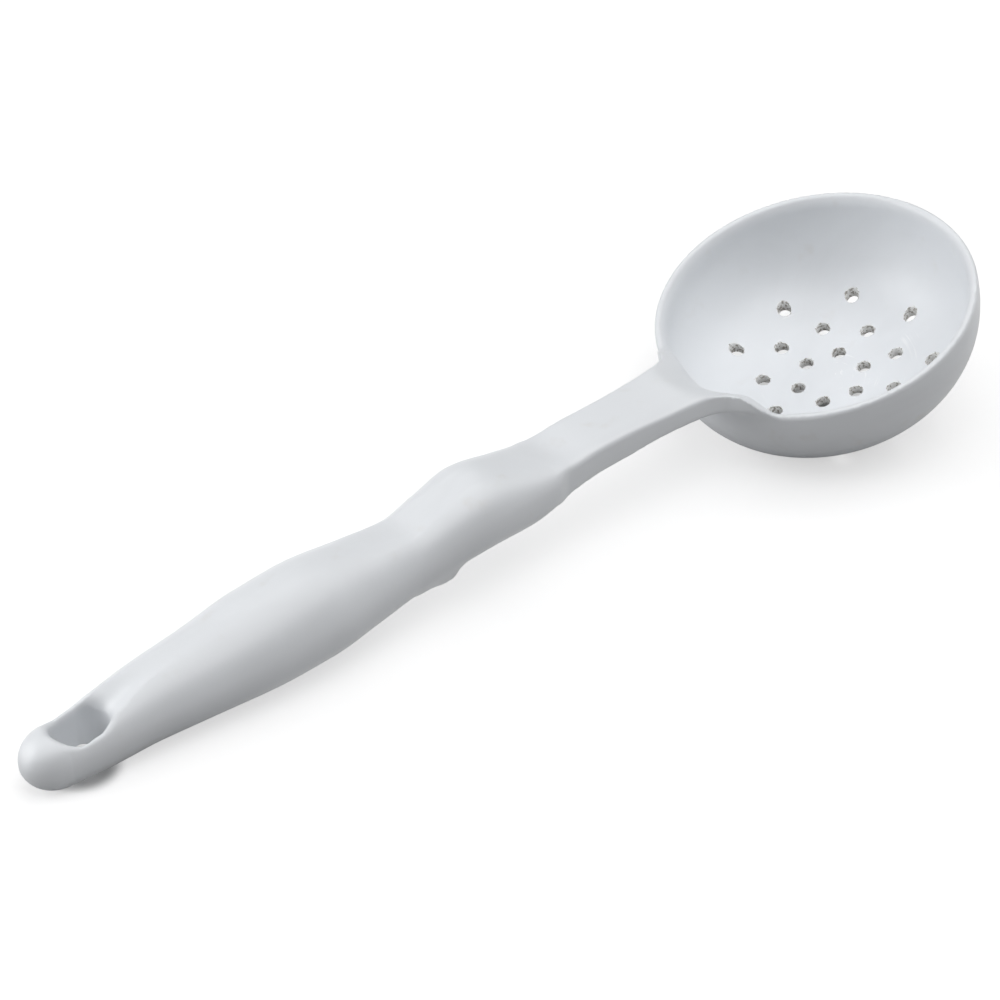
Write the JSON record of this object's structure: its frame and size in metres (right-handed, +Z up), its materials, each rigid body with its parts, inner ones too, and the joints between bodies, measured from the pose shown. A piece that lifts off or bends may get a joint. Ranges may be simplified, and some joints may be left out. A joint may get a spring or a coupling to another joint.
{
  "type": "perforated ladle",
  "caption": "One-piece moulded plastic serving ladle with a perforated round bowl, a contoured grip with a thumb hump and underside stop, and a hanging eye.",
  "frame": {"origin": "on the table under the middle of the ladle's length, on its mirror plane", "axes": "+Z up, +X from the handle's tip to the bowl, +Y to the left seen from the tip"},
  "size_m": [0.3, 0.089, 0.0509],
  "materials": {
    "plastic": "semi-gloss moulded white plastic"
  },
  "bodies": {
    "root": {"bowl": "plastic", "neck": "plastic", "grip": "plastic", "finger_stop": "plastic", "hanging_eye": "plastic"}
  },
  "joints": []
}
